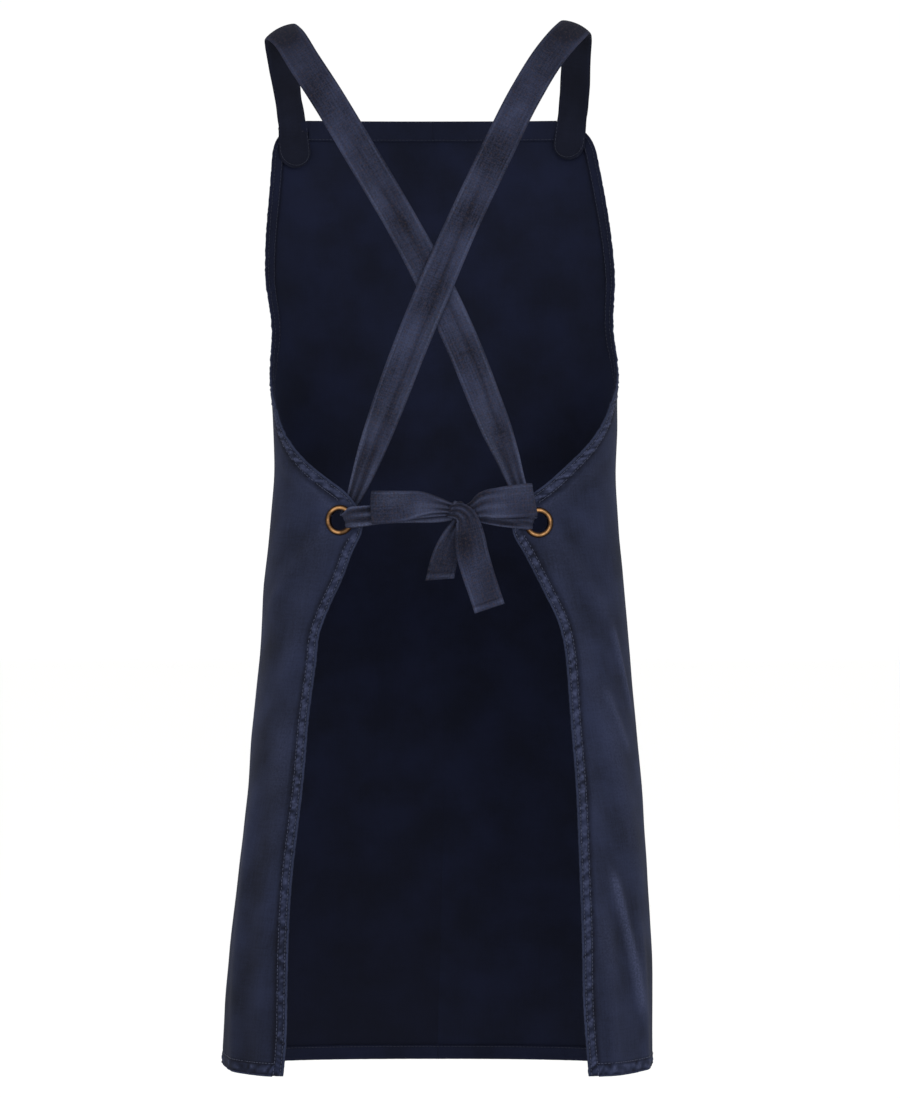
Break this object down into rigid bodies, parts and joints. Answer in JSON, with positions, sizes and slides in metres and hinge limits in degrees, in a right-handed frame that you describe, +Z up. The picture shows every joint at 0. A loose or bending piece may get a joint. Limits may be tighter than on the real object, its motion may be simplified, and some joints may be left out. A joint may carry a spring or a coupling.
{
  "type": "cross-back apron",
  "caption": "Cross-back canvas apron in its worn shape, with straps that cross at the back, pass through brass eyelets and tie in a bow.",
  "frame": {"origin": "midway between the two places where the straps rest on the wearer's shoulders, on the underside of the straps", "axes": "+Z up, +Y to the wearer's front, +X to the wearer's right; the open, tied back faces -Y"},
  "size_m": [0.4312, 0.2456, 1.0495],
  "materials": {
    "body_canvas": "washed navy cotton canvas, plain weave, matt with a soft bloom",
    "hem_canvas": "washed navy canvas turned twice and topstitched, worn paler on its ridges",
    "strap_canvas": "washed navy canvas folded and stitched into a flat strap",
    "aged_brass": "antique brass, pressed, dark in the hollows and bright on the rim"
  },
  "bodies": {
    "apron": {"bib_top_hem": "hem_canvas", "bow_knot": "strap_canvas", "front_bottom_hem": "hem_canvas", "front_panel": "body_canvas", "left_armhole_hem": "hem_canvas", "left_back_wing": "body_canvas", "left_bib_side_hem": "hem_canvas", "left_eyelet": "aged_brass", "left_eyelet_washer": "aged_brass", "left_shoulder_strap": "strap_canvas", "left_strap_end": "strap_canvas", "left_tie": "strap_canvas", "left_wing_edge_hem": "hem_canvas", "right_armhole_hem": "hem_canvas", "right_back_wing": "body_canvas", "right_bib_side_hem": "hem_canvas", "right_eyelet": "aged_brass", "right_eyelet_washer": "aged_brass", "right_shoulder_strap": "strap_canvas", "right_strap_end": "strap_canvas", "right_tie": "strap_canvas", "right_wing_edge_hem": "hem_canvas"},
    "left_skirt_wing": {"left_skirt_wing": "body_canvas", "left_skirt_edge_hem": "hem_canvas", "left_skirt_bottom_hem": "hem_canvas"},
    "left_bow_loop": {"left_bow_loop": "strap_canvas"},
    "left_bow_tail": {"left_bow_tail": "strap_canvas", "left_tail_hem": "strap_canvas"},
    "right_skirt_wing": {"right_skirt_wing": "body_canvas", "right_skirt_edge_hem": "hem_canvas", "right_skirt_bottom_hem": "hem_canvas"},
    "right_bow_loop": {"right_bow_loop": "strap_canvas"},
    "right_bow_tail": {"right_bow_tail": "strap_canvas", "right_tail_hem": "strap_canvas"}
  },
  "joints": [
    {"name": "left_wing_swing", "type": "hinge", "parent": "apron", "child": "left_skirt_wing", "pos_m": [-0.1685, 0, -0.54], "axis": [0.0935, 0, 0.9956], "range_deg": [-70, 12]},
    {"name": "right_wing_swing", "type": "hinge", "parent": "apron", "child": "right_skirt_wing", "pos_m": [0.1845, 0, -0.54], "axis": [-0.0615, 0, 0.9981], "range_deg": [-12, 70]},
    {"name": "left_loop_droop", "type": "hinge", "parent": "apron", "child": "left_bow_loop", "pos_m": [0.024, -0.109, -0.478], "axis": [0, 1, 0], "range_deg": [-45, 25]},
    {"name": "right_loop_droop", "type": "hinge", "parent": "apron", "child": "right_bow_loop", "pos_m": [0.024, -0.109, -0.478], "axis": [0, 1, 0], "range_deg": [-25, 45]},
    {"name": "left_tail_swing", "type": "hinge", "parent": "apron", "child": "left_bow_tail", "pos_m": [0.024, -0.109, -0.478], "axis": [0, 1, 0], "range_deg": [-35, 35]},
    {"name": "right_tail_swing", "type": "hinge", "parent": "apron", "child": "right_bow_tail", "pos_m": [0.024, -0.109, -0.478], "axis": [0, 1, 0], "range_deg": [-35, 35]}
  ]
}
